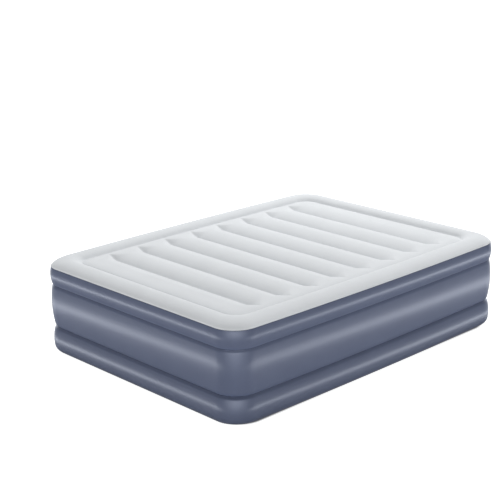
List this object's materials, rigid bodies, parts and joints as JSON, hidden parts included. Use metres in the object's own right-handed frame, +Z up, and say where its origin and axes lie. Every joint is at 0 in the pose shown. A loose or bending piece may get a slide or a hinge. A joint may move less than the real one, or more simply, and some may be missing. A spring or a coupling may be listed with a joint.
{
  "type": "air mattress",
  "caption": "Raised queen-size air mattress: flocked top with a rim tube and cross channels, bulged side walls, inner cross strips and a built-in mains pump.",
  "frame": {"origin": "on the floor, under the middle of the bed", "axes": "+X across the bed, +Y towards the head end, +Z up"},
  "size_m": [1.52, 2.03, 0.51],
  "materials": {
    "flocked_top": "flocked PVC laminate",
    "wall_pvc": "satin mesh-cored PVC film",
    "seam": "hot-pressed weld",
    "inner_pvc": "plain PVC film",
    "dark_abs": "fine moulded grain",
    "grey_abs": "fine moulded grain",
    "pump_rubber": "moulded rubber",
    "pump_steel": "zinc-plated steel"
  },
  "bodies": {
    "bed": {"top_sheet": "flocked_top", "upper_side_band": "wall_pvc", "middle_side_band": "wall_pvc", "lower_side_band": "wall_pvc", "bottom_sheet": "wall_pvc", "top_seam": "seam", "bottom_seam": "seam", "middle_sheet": "inner_pvc", "waist_ring": "inner_pvc", "top_beam_1": "inner_pvc", "top_beam_2": "inner_pvc", "top_beam_3": "inner_pvc", "top_beam_4": "inner_pvc", "top_beam_5": "inner_pvc", "top_beam_6": "inner_pvc", "top_beam_7": "inner_pvc", "top_beam_8": "inner_pvc", "base_beam_1": "inner_pvc", "base_beam_2": "inner_pvc", "base_beam_3": "inner_pvc", "base_beam_4": "inner_pvc", "base_beam_5": "inner_pvc", "pump_housing": "dark_abs", "pump_bezel": "dark_abs", "cord_bin": "dark_abs", "fan_casing": "dark_abs", "valve_cage": "dark_abs", "pump_face": "grey_abs", "valve_sleeve": "grey_abs", "face_gasket": "pump_rubber", "dial_seal": "pump_rubber", "cord_gland": "pump_rubber", "valve_seat": "pump_rubber", "face_screw_1": "pump_steel", "face_screw_2": "pump_steel", "face_screw_3": "pump_steel", "face_screw_4": "pump_steel", "door_pin": "pump_steel", "motor": "pump_steel", "valve_spring": "pump_steel"},
    "selector": {"selector_dial": "dark_abs", "selector_shaft": "grey_abs", "valve_drum": "grey_abs"},
    "rocker": {"power_rocker": "dark_abs"},
    "cord_lid": {"cord_door": "grey_abs"},
    "rotor": {"motor_shaft": "pump_steel", "impeller": "grey_abs"},
    "poppet": {"outlet_valve": "pump_rubber"}
  },
  "joints": [
    {"name": "selector_turn", "type": "hinge", "parent": "bed", "child": "selector", "pos_m": [0.428, 1.006, 0.287], "axis": [0, 1, 0], "range_deg": [-60, 60]},
    {"name": "power_rock", "type": "hinge", "parent": "bed", "child": "rocker", "pos_m": [0.46, 1.0025, 0.22], "axis": [1, 0, 0], "range_deg": [0, 20]},
    {"name": "cord_lid_swing", "type": "hinge", "parent": "bed", "child": "cord_lid", "pos_m": [0.328, 1.0032, 0.3165], "axis": [1, 0, 0], "range_deg": [0, 110]},
    {"name": "impeller_spin", "type": "hinge", "parent": "bed", "child": "rotor", "pos_m": [0.425, 0.95, 0.235], "axis": [0, 1, 0], "continuous": true},
    {"name": "outlet_valve_lift", "type": "slide", "parent": "bed", "child": "poppet", "axis": [0, 0, 1], "range_m": [0, 0.006], "stiffness_N_per_m": 60, "springref_m": -0.004, "deforming": ["valve_spring"]}
  ]
}
